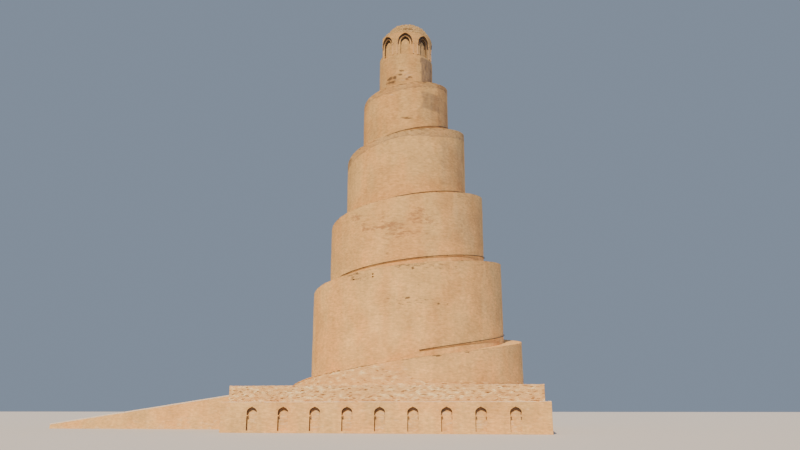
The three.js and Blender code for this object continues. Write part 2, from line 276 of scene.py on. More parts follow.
backs = [f for f in bm.faces
         if -0.02 < depth_in_wall(f) - niche["depth"] < 0.01 and abs(f.normal.z) < 0.1]
bmesh.ops.subdivide_edges(bm, edges=list({e for f in backs for e in f.edges}), cuts=5,
                          use_grid_fill=True)
lay_flat_uv(bm)
weather_and_shade = bm.loops.layers.float_color.new("weather_and_shade")
shade = bm.loops.layers.float.new("shade")
for face in bm.faces:  # dust lies on a niche's back; soot with painted shade darkens its reveals and arch
    depth = depth_in_wall(face)
    in_niche = (0.03 < depth < niche["depth"] + 0.01 and face.normal.z < 0.7
                and face.calc_center_median().z / MODEL < niche["apex"])
    for loop in face.loops:
        place = loop.vert.co / MODEL
        if not in_niche:
            loop[weather_and_shade] = (0, 0.13, 0.02, 1)
        elif depth > niche["depth"] - 0.02:
            along = (place.y if abs(place.x) > abs(place.y) else place.x) / niche["spacing"]
            sooty_and_shaded = soot_and_shadow_under_arch(niche, (along - round(along)) * niche["spacing"], place.z)
            # the strip below the arch: its shadow painted dark in the red channel and the shade, with
            # soot
            loop[weather_and_shade] = (sooty_and_shaded, 0.22, 0.05 + 0.16 * sooty_and_shaded, 1)
            loop[shade] = -0.32 * sooty_and_shaded
        else:
            # the reveals and soffit: the shade that falls in them painted dark, with soot
            loop[weather_and_shade] = (0.9, 0, 0.28, 1)
            loop[shade] = -0.55
lower_tier = as_object(bm, "lower_tier_facing", tan_brick)
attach(lower_tier, "root")
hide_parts(*lower_walls)

# Niche arches, corbels and the tier's top course. The arches are rings of the wall's own brick on
# edge, 1 cm proud, the corbels short bricks on both sides, and the top course is loose and paler,
# partly bleached and partly a painted highlight of the sun on the tier's edge.
random.seed(11)
pale_edge_brick = sun_baked_brick("bleached_edge_brick", "#f0ce9a", "#e2b985", "#c9a273")


def arch_point(half_width, springing, apex, share):
    """A point of a pointed arch and the direction of its edge there, from left 0 to right 1."""
    side = -1 if share < 0.5 else 1
    t = 1 - abs(2 * share - 1)
    shoulder = springing + 0.72 * (apex - springing)
    x = (1 - t * t) * half_width
    z = (1 - t) ** 2 * springing + 2 * t * (1 - t) * shoulder + t * t * apex
    dx = -2 * t * half_width
    dz = 2 * (1 - t) * (shoulder - springing) + 2 * t * (apex - shoulder)
    return side * x, z, math.atan2(dz, dx * side)


def lay_brick(bm, centre, along, up, size):
    """Adds one brick: its length lies along one direction and its height along another."""
    along = along.normalized()
    out = up.cross(along).normalized()
    turned = Matrix((along, out, along.cross(out))).transposed().to_4x4()
    sized = Matrix.Diagonal((*(size * MODEL), 1))
    bmesh.ops.create_cube(bm, size=1, matrix=Matrix.Translation(centre * MODEL) @ turned @ sized)


def brick_faces_uv(bm):
    """A UV in metres on each brick, shifted at random so that no two bricks are alike."""
    uv = bm.loops.layers.uv.new("UVMap")
    for face in bm.faces:
        shift = Vector((random.random(), random.random()))
        first = face.loops[0].vert.co
        edge = (face.loops[1].vert.co - first).normalized()
        side = face.normal.cross(edge)
        for loop in face.loops:
            away = loop.vert.co - first
            loop[uv].uv = Vector((away.dot(edge), away.dot(side))) + shift


def lay_ring(bm, arch, beyond, count, size, place_at):
    """Adds the bricks of a ring that far beyond an arch's edge, with joints of 1 cm. place_at(x)
    gives a place across the arch, and the directions outwards and along there."""
    edge = arch["half_width"] + beyond, arch["springing"], arch["apex"] + beyond
    for k in range(count):
        start, (x, z, slope), end = (arch_point(*edge, (k + part) / count) for part in (0, 0.5, 1))
        place, outwards, along = place_at(x)
        lay_brick(bm, place + upright * z, along * math.cos(slope) + upright * math.sin(slope), outwards,
                  Vector((math.dist(start[:2], end[:2]) - 0.01, *size)))


def lay_edge_rows(bm, half_side, top, out, up, missing, length, gap=0):
    """Adds a loose row of bricks along all four edges of a tier, with a gap in the left one."""
    for quarter in range(4):
        outwards, along = directions_at(math.pi / 2 * (quarter - 1))
        for k in range(round(2 * half_side / BRICK.x)):
            centre = (outwards * (half_side - 0.14 + random.uniform(*out))
                      + along * ((k + 0.5) * BRICK.x - half_side)
                      + upright * (top + random.uniform(*up)))
            in_gap = quarter == 3 and abs(centre.y) < gap
            if not in_gap and random.random() > missing:
                lay_brick(bm, centre, along, upright, Vector((length, 0.27, 0.075)))


def directions_at(angle):
    """The directions outwards from the axis and along the wall at a plan angle."""
    outwards = Vector((math.cos(angle), math.sin(angle), 0))
    return outwards, Vector((-outwards.y, outwards.x, 0))


def colour_faces(bm, name, value, faces=None):
    """Writes a colour layer: one value for all faces, or what it gives for each face and vertex."""
    layers = bm.loops.layers.float_color
    layer = layers.get(name) or layers.new(name)
    for face in bm.faces if faces is None else faces:
        for loop in face.loops:
            loop[layer] = value(face, loop.vert) if callable(value) else value


ring_sunk = 0.055  # behind the wall's face
corbel = {"size": Vector((0.15, 0.27, 0.09)), "across": 0.49, "height": 1.66, "sunk": 0.13}
upright = Vector((0, 0, 1))
bm = bmesh.new()
for quarter in range(4):
    outwards, along = directions_at(math.pi / 2 * (quarter - 1))
    for i in range(-4, 5):
        if quarter == 3 and abs(i) < 2:
            continue  # the approach ramp stands here
        middle = outwards * lower_reach + along * (i * niche["spacing"])
        lay_ring(bm, niche, 0.13, 24, (0.25, 0.13),
                 lambda x: (middle + along * x - outwards * ring_sunk, outwards, along))
        for side in (-1, 1):
            lay_brick(bm, middle + along * (side * corbel["across"]) + upright * corbel["height"]
                      - outwards * corbel["sunk"], along, upright, corbel["size"])
top_course = bmesh.new()
lay_edge_rows(top_course, lower_reach, lower_top + 0.02, (-0.02, 0.005), (-0.012, 0.012), 0.03,
              0.255, gap=5.1)
brick_faces_uv(bm)
niche_trim = as_object(bm, "niche_arches_and_corbels", tan_brick)
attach(niche_trim, "root")
brick_faces_uv(top_course)
# the top course is bleached further: partly wear, partly a painted highlight of its sunlit edge
colour_faces(top_course, "weather_and_shade", (0, 0.38, 0, 1))
tier_edge = as_object(top_course, "lower_tier_top_course", pale_edge_brick)
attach(tier_edge, "root")

# Socle, upper tier: old facing of the same brick, now bleached whitish and pocked. Each brick's face
# stands a little in or out, some have crumbled, and the joints between them are open.
upper_reach = 15.91
terrace_top = 4.61
random.seed(23)

weathered_brick, tree = bare_material("bleached_crumbling_brick")
tone = add_node(tree, "Attribute", attribute_name="tone").outputs["Color"]
place = add_node(tree, "TexCoord").outputs["Object"]
grime = add_node(tree, "TexNoise", {"Vector": place, "Scale": 60, "Detail": 6, "Roughness": 0.7})
grime_shade = add_node(tree, "MapRange", {
    "Value": grime, "From Min": 0.3, "From Max": 0.7, "To Min": 0.9, "To Max": 1.08})
dusty = add_node(tree, "VectorMath", {0: tone, "Scale": grime_shade}, operation="SCALE")
crumbs = add_node(tree, "TexNoise", {  # grains and pits of 1 to 3 cm
    "Vector": place, "Scale": 500, "Detail": 4, "Roughness": 0.75})
crumbled = add_node(tree, "Bump", {"Height": crumbs, "Strength": 0.8, "Distance": 0.001})
surface = add_node(tree, "BsdfPrincipled", {
    "Base Color": dusty, "Roughness": 0.97, "Diffuse Roughness": 0.1,
    "Specular IOR Level": 0.2, "Normal": crumbled})
add_node(tree, "OutputMaterial", {"Surface": surface})

brick_tones = [linear(c) for c in (
    "#cd9e68", "#dbaf75", "#e4b97c", "#e8bf83", "#ecc68c", "#f5d69a", "#fce4ac")]
joint_tone = linear("#c49d6a")


def rough_courses(bm, length, courses, bleached, crumble):
    """Adds a flat wall of bricks in relief. It runs from x = 0 to its length, up from z = 0, and
    faces -Y. bleached(x, z) is how pale the bricks are, crumble the share of broken ones."""
    standing = set(bm.faces)
    count = math.ceil(length / BRICK.x) + 1
    faces = set()
    for course in range(courses):
        made = bmesh.ops.create_grid(bm, x_segments=count, y_segments=1, size=0.5)["verts"]
        shift = (course % 2 - 1) * BRICK.x / 2
        for vert in made:
            x = (vert.co.x + 0.5) * count * BRICK.x + shift
            vert.co = (min(max(x, 0), length), 0, (course + vert.co.y + 0.5) * BRICK.z)
        faces |= {f for v in made for f in v.link_faces}
    thin = {f for f in faces if f.calc_area() < 1e-3 * BRICK.x}
    faces = sorted(faces - thin, key=lambda f: (
        round(f.calc_center_median().z, 4), f.calc_center_median().x))
    bmesh.ops.delete(bm, geom=list(thin), context="FACES")
    bmesh.ops.inset_individual(bm, faces=faces, thickness=0.006, depth=0, use_even_offset=True)
    colour_faces(bm, "tone", joint_tone, [f for f in bm.faces if f not in standing])
    for face in faces:
        centre = face.calc_center_median()
        out = -0.012 + random.uniform(-0.008, 0.01)
        if random.random() < crumble:
            out += random.uniform(0.02, 0.075)
        pale = bleached(centre.x, centre.z) + random.uniform(-0.2, 0.2)
        for vert in face.verts:
            vert.co.y += out + random.uniform(-0.004, 0.004)
        colour_faces(bm, "tone", brick_tones[round(6 * min(max(pale, 0), 1))], [face])


width = 2 * upper_reach - 0.2
backing = Matrix.Diagonal((width, width, terrace_top - lower_top - 0.08, 1))
backing.translation.z = (terrace_top + lower_top) / 2
bm = bmesh.new()
bmesh.ops.create_cube(bm, size=1, matrix=backing)
colour_faces(bm, "tone", joint_tone)
for quarter in range(4):
    standing = set(bm.verts)
    rough_courses(bm, 2 * upper_reach, 20,
                  lambda x, z: (0.56 if 2.6 < x < 10.7 else 0.48)
                  + 0.85 * noise.noise(Vector((x * 1.9, z * 3.6, quarter * 9)))
                  + 0.3 * noise.noise(Vector((x * 0.3, z * 0.7, quarter * 7))), 0.14)
    corner = Matrix.Translation((-upper_reach, -upper_reach, lower_top))
    bmesh.ops.transform(bm, matrix=Matrix.Rotation(math.pi / 2 * quarter, 4, "Z") @ corner,
                        verts=[v for v in bm.verts if v not in standing])
bmesh.ops.scale(bm, vec=(MODEL,) * 3, verts=bm.verts)
upper_tier = as_object(bm, "upper_tier_brickwork", weathered_brick)
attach(upper_tier, "root")
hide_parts("upper_tier_front_wall", "upper_tier_back_wall", "upper_tier_left_wall",
            "upper_tier_right_wall")

# Terrace: the flat top of the socle, paved with the same brick laid flat, trodden hollow and
# covered with dust. A loose row of bleached bricks ends it on all four sides.
random.seed(31)
bm = bmesh.new()
paving = bmesh.ops.create_grid(bm, x_segments=90, y_segments=90, size=upper_reach - 0.12)["verts"]
for vert in paving:
    vert.co.z = terrace_top - 0.012 + 0.02 * noise.fractal(vert.co * 0.4, 1, 2, 4)
uv = bm.loops.layers.uv.new("UVMap")
dusty = bm.verts.layers.float_color.new("weather_and_shade")
for vert in bm.verts:
    vert[dusty] = (0, 0.35, 0, 1)
rim = [e for e in bm.edges if e.is_boundary]
for lowered in bmesh.ops.extrude_edge_only(bm, edges=rim)["geom"]:
    if isinstance(lowered, bmesh.types.BMVert):
        lowered.co.z = terrace_top - 0.3
bmesh.ops.holes_fill(bm, edges=[e for e in bm.edges if e.is_boundary], sides=0)
bmesh.ops.recalc_face_normals(bm, faces=bm.faces)
for face in bm.faces:
    for loop in face.loops:
        loop[uv].uv = loop.vert.co.xy * MODEL
bmesh.ops.scale(bm, vec=(MODEL,) * 3, verts=bm.verts)
terrace = as_object(bm, "terrace_paving", tan_brick)
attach(terrace, "root")
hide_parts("terrace")

bm = bmesh.new()
lay_edge_rows(bm, upper_reach, terrace_top - 0.03, (-0.035, 0.01), (-0.02, 0.012), 0.07, 0.25)
brick_faces_uv(bm)
terrace_edge = as_object(bm, "terrace_edge_bricks", pale_edge_brick)
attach(terrace_edge, "root")

# Approach ramp: a solid slope of newer, even brickwork that climbs to the terrace from the left,
# with a coping of pale slabs about 0.9 m long along both edges.
random.seed(37)
bm = joined_copies("approach_ramp")
soften_corners(bm, 0.012)
lay_flat_uv(bm)
colour_faces(bm, "weather_and_shade", lambda face, vert: (  # splashed sand has bleached the foot of its walls
    0, 0.24 if vert.co.z < 0.1 * MODEL else 0.13, 0.08, 1))
approach_ramp = as_object(bm, "approach_ramp_brickwork", tan_brick)
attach(approach_ramp, "root")
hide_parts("approach_ramp")


def chalky_surface(name, dark, light):
    """Limestone or lime plaster: pale, cloudy and rough to the touch, with no gloss."""
    material, tree = bare_material(name)
    place = add_node(tree, "TexCoord").outputs["Object"]
    cloud = add_node(tree, "TexNoise", {"Vector": place, "Scale": 26, "Detail": 8, "Roughness": 0.65})
    colour = add_node(tree, "Mix", {0: cloud, 6: linear(dark), 7: linear(light)}, data_type="RGBA")
    grain = add_node(tree, "TexNoise", {"Vector": place, "Scale": 450, "Detail": 4})
    chalky = add_node(tree, "Bump", {"Height": grain, "Strength": 0.5, "Distance": 0.0006})
    surface = add_node(tree, "BsdfPrincipled", {
        "Base Color": colour.outputs[2], "Roughness": 0.9, "Normal": chalky})
    add_node(tree, "OutputMaterial", {"Surface": surface})
    return material


coping_stone = chalky_surface("worn_limestone_coping", "#cdb28c", "#f3e6cf")
foot, head = Vector((-43.75, 0, 0.44)), Vector((-15.92, 0, 4.46))
half_width = 5.0
slope, across = head - foot, Vector((0, 1, 0))
slab_up = slope.normalized().cross(across)
slabs = round(slope.length / 0.9)
bm = bmesh.new()
for side in (-1, 1):
    for k in range(slabs):
        centre = foot + slope * ((k + 0.5) / slabs) + across * side * (half_width - 0.2)
        centre += slab_up * (0.072 + random.uniform(-0.006, 0.003))
        centre += across * random.uniform(-0.006, 0.006)
        lay_brick(bm, centre, slope, slab_up, Vector((slope.length / slabs - 0.012, 0.386, 0.135)))
soften_corners(bm, 0.018)
coping = as_object(bm, "approach_coping_slabs", coping_stone)
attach(coping, "root")
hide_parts("approach_coping_front", "approach_coping_back")

# Spiral: five turns of solid brickwork, each wall set back from the one below it by the width of
# the ramp. The walls are plumb. Their faces wave a little, have spalled in places, and keep the
# putlog holes of the scaffold. The ramp's outer edge is a loose row of bricks laid along it.
left_reach = [13.9, 11.5, 9.52, 7.65, 5.63]
right_reach = [13.97, 11.83, 9.75, 7.65, 5.58]
drum_radius = 3.565
ramp_heights = [4.61, 10.05, 15.5, 19.6, 23.8, 28.3, 32.65, 37.1, 41.0, 43.7, 48.2]
first_step = 0.13
ramp_start = 3 / 24
ramp_end = 23 / 24
last_left_reach = 4.58
door_direction = directions_at(math.radians(187.5))[0].xy


def circle_of(half):
    """The centre and radius of the half circle that a half turn's outer wall follows."""
    turn = half // 2
    if turn >= 5:
        return 0, drum_radius
    right = right_reach[turn]
    lefts = [*left_reach, last_left_reach]
    left = lefts[turn + half % 2]
    return (right - left) / 2, (right + left) / 2


def wall_point(half, share, offset=0.0):
    """A point of the outer wall's plan, a share of the way along a half turn."""
    centre, radius = circle_of(half)
    angle = math.pi * (1 + half + share)
    point = directions_at(angle)[0].xy * (radius + offset)
    point.x += centre
    if half == 9:  # the last half turn ends along a straight edge in front of the door
        beyond = point.dot(door_direction) - (drum_radius + offset)
        point -= door_direction * max(beyond, 0)
    return point


def ramp_height(half, share):
    """The height of the ramp's surface there."""
    low, high = ramp_heights[half], ramp_heights[half + 1]
    if half == 0:
        low += first_step
        share = (share - ramp_start) / (1 - ramp_start)
    if half == 9:
        share = min(share / ramp_end, 1)
    return low + (high - low) * share


# Wear on the walls of each turn (6 is the drum): the plan angle and height of its middle, half
# sizes in degrees and metres, the kind (0 spalled, 1 bleached, 2 stained) and the strength
wear_marks = {
    1: [(272, 6.3, 14, 0.8, 1, 0.14), (292.1, 7.67, 2.6, 0.1, 2, 0.5),
        (306.1, 8.04, 2.2, 0.08, 2, 0.4), (278.4, 7.24, 2.2, 0.08, 2, 0.45)],
    2: [(250, 16.6, 11, 0.9, 2, 0.2), (279, 13.6, 24, 0.9, 2, 0.17), (290, 17.5, 30, 0.5, 2, 0.2),
        (322, 14.5, 22, 3.4, 2, 0.1), (282, 17.2, 0.9, 0.16, 2, 0.36),
        (285.2, 15.5, 0.8, 0.16, 2, 0.34), (279.2, 14.0, 0.9, 0.16, 2, 0.36),
        (295.5, 13.4, 0.9, 0.16, 2, 0.36), (301, 13.4, 0.8, 0.16, 2, 0.36)],
    3: [(266, 23.0, 40, 2.6, 0, 0.14), (239, 24.3, 10, 0.7, 0, 0.15), (247, 23.1, 1.8, 0.9, 0, 0.16),
        (262, 23.4, 3, 0.45, 0, 0.15), (256, 22.5, 9, 0.25, 0, 0.15), (269, 22.6, 10, 0.7, 0, 0.15),
        (269, 21.4, 9, 0.55, 0, 0.16), (284, 21.7, 13, 0.5, 0, 0.14), (288, 23.6, 11, 1.0, 0, 0.14),
        (288, 24.6, 6, 0.4, 0, 0.14), (298, 22.9, 5, 0.8, 0, 0.13), (265.3, 19.3, 2, 0.4, 2, 0.24),
        (325, 24.5, 12, 2.6, 2, 0.14)],
    4: [(322, 32.0, 20, 3.2, 2, 0.13)],
    5: [(280.5, 37.65, 11, 0.2, 2, 0.38), (260, 40.9, 5, 0.12, 1, 0.3), (312, 38.4, 16, 0.9, 2, 0.15)],
    6: [(270, 45.3, 8, 0.24, 2, 0.27), (266, 44.7, 7, 0.2, 2, 0.26), (243, 44.4, 10, 0.3, 2, 0.27),
        (255, 44.4, 5, 0.3, 2, 0.27), (243, 43.8, 16, 0.32, 2, 0.25), (301, 45.3, 7, 0.24, 2, 0.25),
        (289, 44.3, 7, 0.24, 2, 0.22), (282, 44.0, 7, 0.2, 2, 0.2), (252, 45.7, 7, 0.2, 2, 0.22),
        (292, 46.2, 7, 0.2, 2, 0.22), (275, 44.6, 40, 1.2, 1, 0.2), (262, 44.4, 40, 1.2, 2, 0.12)]}

# Areas that are lighter or darker as a whole: plan angles, heights, and the share. The dark areas
# that start at 186 degrees, on the left, are painted shade where less sun falls; the dark ones
# further right are stains, and near the right limb also painted shade; the light ones are pale bands
shade_areas = {
    2: [(247, 254, 9.3, 14.2, 0.09), (285.5, 292, 9.3, 13.4, 0.09), (270.6, 272, 7.2, 8.9, 0.12),
        (238, 260, 15.6, 17.6, -0.09), (318, 352, 12.0, 19.0, -0.06)],
    3: [(305, 352, 21.0, 27.5, -0.08), (186, 236, 18.0, 25.5, -0.06)],
    4: [(312, 352, 28.5, 34.6, -0.12), (334, 356, 28.5, 36.0, -0.1), (186, 232, 26.0, 34.0, -0.04)],
    5: [(300, 330, 39.0, 41.6, -0.34), (326, 356, 36.0, 43.5, -0.22), (292, 330, 37.6, 39.1, -0.08),
        (186, 242, 34.0, 41.5, -0.09)],
    6: [(312, 356, 43.4, 47.7, -0.42), (186, 262, 43.0, 47.7, -0.13)]}

# Rougher brickwork of a later repair below the edges of the upper turns: its depth in metres at plan
# angles counted from 241 degrees, repeated every 120 degrees
repairs = {4: [(0, 0.9), (20, 0.75), (37, 0.7), (61, 1.06), (79, 1.2), (120, 0.9)],
           5: [(0, 0.8), (17, 1.0), (31, 0.9), (50, 0.8), (64, 0.7), (100, 0.6), (120, 0.8)]}

# The unseen sides repeat the visible ones, about a third and two thirds of a turn further round
for marks in wear_marks.values():
    marks += [(a + turned, *rest) for a, *rest in marks for turned in (127, 236)]
for areas in shade_areas.values():
    areas += [(a + 127, b + 127, *rest) for a, b, *rest in areas]


def repair_depth(turn, degrees):
    """How far below the ramp's edge the repair reaches there, in metres."""
    local = (degrees - 241) % 120
    for (a, low), (b, high) in zip(repairs[turn], repairs[turn][1:]):
        if a <= local <= b:
            return low + (high - low) * (local - a) / (b - a)


def wear_at(turn, degrees, z, to_ledge, point):
    """How spalled, bleached and stained the wall is at a place, and by what share lighter or darker
    from stains, repairs and painted shade.
    """
    wear_and_shade = [0.0, 0.0, 0.0, 0.0]
    for a, height, half_angle, half_height, kind, strength in wear_marks[turn]:
        if abs(z - height) < half_height:
            beside = ((degrees - a + 180) % 360 - 180) / half_angle
            away = beside ** 2 + ((z - height) / half_height) ** 2
            wear_and_shade[kind] += strength * max(0, 1 - away * away)
    jagged = noise.fractal(Vector((degrees * 0.3, z * 1.8, turn)), 1, 2, 3)
    mottled = 0.94 + 0.4 * noise.noise(Vector((degrees * 0.3, z * 1.2, turn)))
    for first, last, low, high, share in shade_areas.get(turn, []):
        along = (degrees - first + 2.5 * jagged) % 360
        if along < last - first and low < z < high:
            edge = min(along / 1.2, (last - first - along) / 5, (z - low) / 0.25, (high - z) / 0.25, 1)
            wear_and_shade[3] += share * edge * mottled
    cloud = noise.noise(Vector(point) * 0.3)
    if turn == 1:  # the foot of the first turn is a little bleached, as the tier below it is
        wear_and_shade[1] += 0.14 * max(0, 1 - (z - terrace_top) / 3.4) * (0.8 + 0.5 * cloud)
    if turn in repairs:
        above_joint = repair_depth(turn, degrees) + 0.12 * jagged - to_ledge
        if above_joint > 0:
            wear_and_shade[3] -= 0.34 if above_joint < 0.14 else 0.17
            wear_and_shade[2] += 0.15
            wear_and_shade[0] += 0.08
    wear_and_shade[2] += 0.1 * max(0, 1 - to_ledge / 0.35)
    return wear_and_shade


def lofted(columns, stations, place):
    """A sheet of columns by stations. place(share of the columns, station) gives each vertex its
    point, its UV in metres, and its wear with the painted shade."""
    bm = bmesh.new()
    bmesh.ops.create_grid(bm, x_segments=columns, y_segments=stations, size=0.5)
    uv = bm.loops.layers.uv.new("UVMap")
    weather_and_shade = bm.verts.layers.float_color.new("weather_and_shade")
    shade = bm.verts.layers.float.new("shade")
    flat = {}
    for vert in bm.verts:
        share = round((vert.co.x + 0.5) * columns) / columns
        point, flat[vert], wear_and_shade = place(share, round((vert.co.y + 0.5) * stations))
        vert.co = Vector(point) * MODEL
        vert[weather_and_shade] = (*wear_and_shade[:3], 1)
        vert[shade] = wear_and_shade[3]
    for face in bm.faces:
        for loop in face.loops:
            loop[uv].uv = Vector(flat[loop.vert]) * MODEL
    bmesh.ops.remove_doubles(bm, verts=bm.verts, dist=1e-6)
    return bm


def smooth_walls(bm):
    """Shades the curved walls smooth and keeps their corners sharp."""
    for face in bm.faces:
        face.smooth = True
    for edge in bm.edges:
        edge.smooth = edge.calc_face_angle(0) < math.radians(35)


notch = Vector((0.135, 0.076))  # the edge bricks lie in a step of this width and height


def wave(point):
    """How far the wall's face stands out of true, in metres."""
    return 0.03 * noise.fractal(Vector(point) * 0.32, 1, 2, 3) + 0.008 * noise.noise(Vector(point) * 2.1)


def foot_height(degrees):
    """How far up from the terrace the rough courses at the tower's foot reach: highest on two
    opposite sides, where the ramp above them is low."""
    turned = min(abs((degrees - middle + 180) % 360 - 180) for middle in (228, 48))
    return 0.4 + 1.8 * min(max((60 - turned) / 25, 0), 1)


turn_columns = [384, 336, 280, 224, 160]
wall_rows = [36, 72, 64, 64, 60]
putlogs = {2: [(259.4, 16.72), (259.4, 16.36), (248.2, 16.23)]}  # plan angles and heights
random.seed(41)
for turn in range(1, 6):
    rows = wall_rows[turn - 1]
    start = ramp_start / 2 if turn == 1 else 0
    end = (1 + ramp_end) / 2 if turn == 5 else 1

    def turn_station(share, station):
        along = start + (end - start) * share
        half = 2 * turn - 2 + min(int(along * 2), 1)
        part = along * 2 - (half % 2)
        top = ramp_height(half, part)
        low = terrace_top - 0.05
        if turn > 1:
            low = max(low, ramp_height(half - 2, part) - 0.3)
        arc = circle_of(half)[1] * math.pi * (half + part)
        inner = wall_point(half + 2, part, JOINT)
        wall_top = top - notch.y
        wear_and_shade = (0, 0.1, 0.05, 0)
        if station in (0, rows + 8):
            return (*inner, low), (arc, low), wear_and_shade
        if station <= rows + 1:
            z = low + (wall_top - low) * (station - 1) / rows
            point = (*wall_point(half, part), z)
            degrees = 180 * (1 + half + part) % 360
            wear_and_shade = wear_at(turn, degrees, z, top - z, point)
            sunk = wave(point) - 0.05 * wear_and_shade[0]
            rough = terrace_top + foot_height(degrees) - z if turn == 1 else 0
            if rough > 0:
                sunk -= 0.06 * min(1, rough / 0.2)
            return (*wall_point(half, part, sunk), z), (arc, z), wear_and_shade
        edge = wall_point(half, part, wave((*wall_point(half, part), wall_top)))
        inwards = inner - edge
        width = inwards.length
        back = notch.x + (width - notch.x) * max(0, station - rows - 3) / 4
        z = wall_top if station == rows + 2 else top - 0.004
        if rows + 3 < station < rows + 7:
            z += 0.02 * noise.noise(Vector((edge.x, edge.y, back)) * 0.9) - 0.02
        return (*(edge + inwards * (back / width)), z), (arc, z + back), wear_and_shade

    bm = lofted(turn_columns[turn - 1], rows + 8, turn_station)
    holes = []
    for degrees, z in putlogs.get(turn, []):
        for turned in (0, 119, 243):
            centre, radius = circle_of(2 * turn - 2)
            outwards, _ = directions_at(math.radians(degrees + turned))
            spot = (outwards * radius + Vector((centre, 0, z))) * MODEL
            nearest = min(bm.faces, key=lambda f: (f.calc_center_bounds() - spot).length_squared)
            if nearest not in holes:
                holes.append(nearest)
    bmesh.ops.holes_fill(bm, edges=[e for e in bm.edges if e.is_boundary], sides=0)
    bmesh.ops.recalc_face_normals(bm, faces=bm.faces)
    bmesh.ops.inset_individual(bm, faces=holes, thickness=0.035 * MODEL, depth=-0.14 * MODEL)
    weather_and_shade = bm.verts.layers.float_color["weather_and_shade"]
    # the holes' insides are painted dark: painted shade in the hole, with dirt
    for face in holes:
        for vert in face.verts:
            vert[weather_and_shade] = (0, 0, 0.9, 1)
    smooth_walls(bm)
    wall = as_object(bm, f"turn_{turn}_brickwork", tan_brick)
    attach(wall, "root")
    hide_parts(f"turn_{turn}_front", f"turn_{turn}_back")

bm = bmesh.new()
for half in range(10):
    first = ramp_start if half == 0 else 0
    last = ramp_end if half == 9 else 1
    count = round((last - first) * math.pi * circle_of(half)[1] / BRICK.x)
    for k in range(count):
        if random.random() < 0.05:
            continue
        share = first + (last - first) * (k + 0.5) / count
        nudge = random.uniform(-0.02, 0.008)
        middle = wall_point(half, share, -notch.x / 2 + nudge)
        step = 0.2 / count
        ahead, behind = (wall_point(half, share + s, 0) for s in (step, -step))
        rise = ramp_height(half, min(share + step, 1)) - ramp_height(half, max(share - step, first))
        point = Vector((*middle, ramp_height(half, share) - notch.y / 2 + random.uniform(-0.012, 0.006)))
        point += Vector((*wall_point(half, share), point.z)).normalized() * wave(point) * 0.9
        lay_brick(bm, point, Vector((*(ahead - behind), rise)), upright,
                  Vector((BRICK.x - 0.014, notch.x - 0.006, notch.y - 0.004)))
brick_faces_uv(bm)
colour_faces(bm, "weather_and_shade", (0, 0.05, 0.21, 1))
ramp_edge = as_object(bm, "ramp_edge_bricks", tan_brick)
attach(ramp_edge, "root")

# Foot of the first turn: the upper tier's crumbling facing, bent round the tower and cut off under
# the ramp's edge. It ends raggedly where the smooth wall above has kept its skin.
random.seed(43)
bm = bmesh.new()
half_lengths = [math.pi * circle_of(half)[1] for half in (0, 1)]
start_length = ramp_start * half_lengths[0]
band_length = sum(half_lengths) - start_length


def band_place(x):
    """The half turn and the share of it at a length along the band."""
    x = min(max(x, 0), band_length) + start_length
    half = int(x > half_lengths[0])
    return half, (x - half * half_lengths[0]) / half_lengths[half]


def foot_bleaching(x, z):
    """How pale the bricks are: whitish ones lie just below the ramp's edge and at the terrace."""
    below_edge = ramp_height(*band_place(x)) - terrace_top - z
    clump = noise.noise(Vector((x * 1.4, z * 3.4, 4)))
    return (0.5 if below_edge < 0.9 or z < 0.25 else 0.4) + 0.85 * max(clump, -0.2)


rough_courses(bm, band_length, 27, foot_bleaching, 0.05)
hidden = []
for face in bm.faces:
    middle = face.calc_center_median()
    half, share = band_place(middle.x)
    degrees = 180 * (1 + half + share) % 360
    reach = foot_height(degrees) + 0.55 * noise.noise(Vector((middle.x, middle.z * 5, 7)))
    if middle.z > reach or terrace_top + middle.z > ramp_height(half, share) - notch.y - 0.06:
        hidden.append(face)
bmesh.ops.delete(bm, geom=hidden, context="FACES")
rim = [e for e in bm.edges if e.is_boundary]
for turned_in in bmesh.ops.extrude_edge_only(bm, edges=rim)["geom"]:
    if isinstance(turned_in, bmesh.types.BMVert):
        turned_in.co.y += 0.09
    elif isinstance(turned_in, bmesh.types.BMFace):
        colour_faces(bm, "tone", joint_tone, [turned_in])
for vert in bm.verts:
    half, share = band_place(vert.co.x)
    z = terrace_top + vert.co.z
    point = wall_point(half, share)
    out = wave((*point, z)) - vert.co.y - 0.012
    vert.co = Vector((*wall_point(half, share, out), z)) * MODEL
foot_courses = as_object(bm, "turn_1_foot_courses", weathered_brick)
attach(foot_courses, "root")

# Handrails: steel pipe, 8 cm thick, bent to the curve of the wall 60 to 95 cm above the ramp. It is
# held off the wall by short bars, each welded to a small plate. The brown paint is dull and rusting.
rail = {"offset": 0.09, "radius": 0.04, "bar": 0.02}
# From one ramp step to another, with a bar every so many steps, at a height above the ramp
rail_runs = [(14, 51, 2, 0.85), (54, 100, 2, 0.95), (103, 148, 3, 0.62), (151, 196, 4, 0.95),
             (199, 233, 6, 0.88)]

rusty_paint, tree = bare_material("brown_painted_steel")
place = add_node(tree, "TexCoord").outputs["Object"]
blisters = add_node(tree, "TexNoise", {"Vector": place, "Scale": 90, "Detail": 6, "Roughness": 0.7})
rusted = add_node(tree, "MapRange", {"Value": blisters, "From Min": 0.56, "From Max": 0.68})
paint = add_node(tree, "Mix", {0: rusted, 6: linear("#261c15"), 7: linear("#4a3122")}, data_type="RGBA")
dull = add_node(tree, "MapRange", {"Value": rusted, "To Min": 0.5, "To Max": 0.85})
flakes = add_node(tree, "Bump", {"Height": blisters, "Strength": 0.3, "Distance": 0.0003})
surface = add_node(tree, "BsdfPrincipled", {
    "Base Color": paint.outputs[2], "Roughness": dull, "Normal": flakes})
add_node(tree, "OutputMaterial", {"Surface": surface})


def rail_point(step, offset, height):
    """A point above the ramp beside its inner wall, a number of ramp steps from the start."""
    half = min(int(step // 24), 9)
    share = step / 24 - half
    return Vector((*wall_point(half + 2, share, offset), ramp_height(half, share) + height))


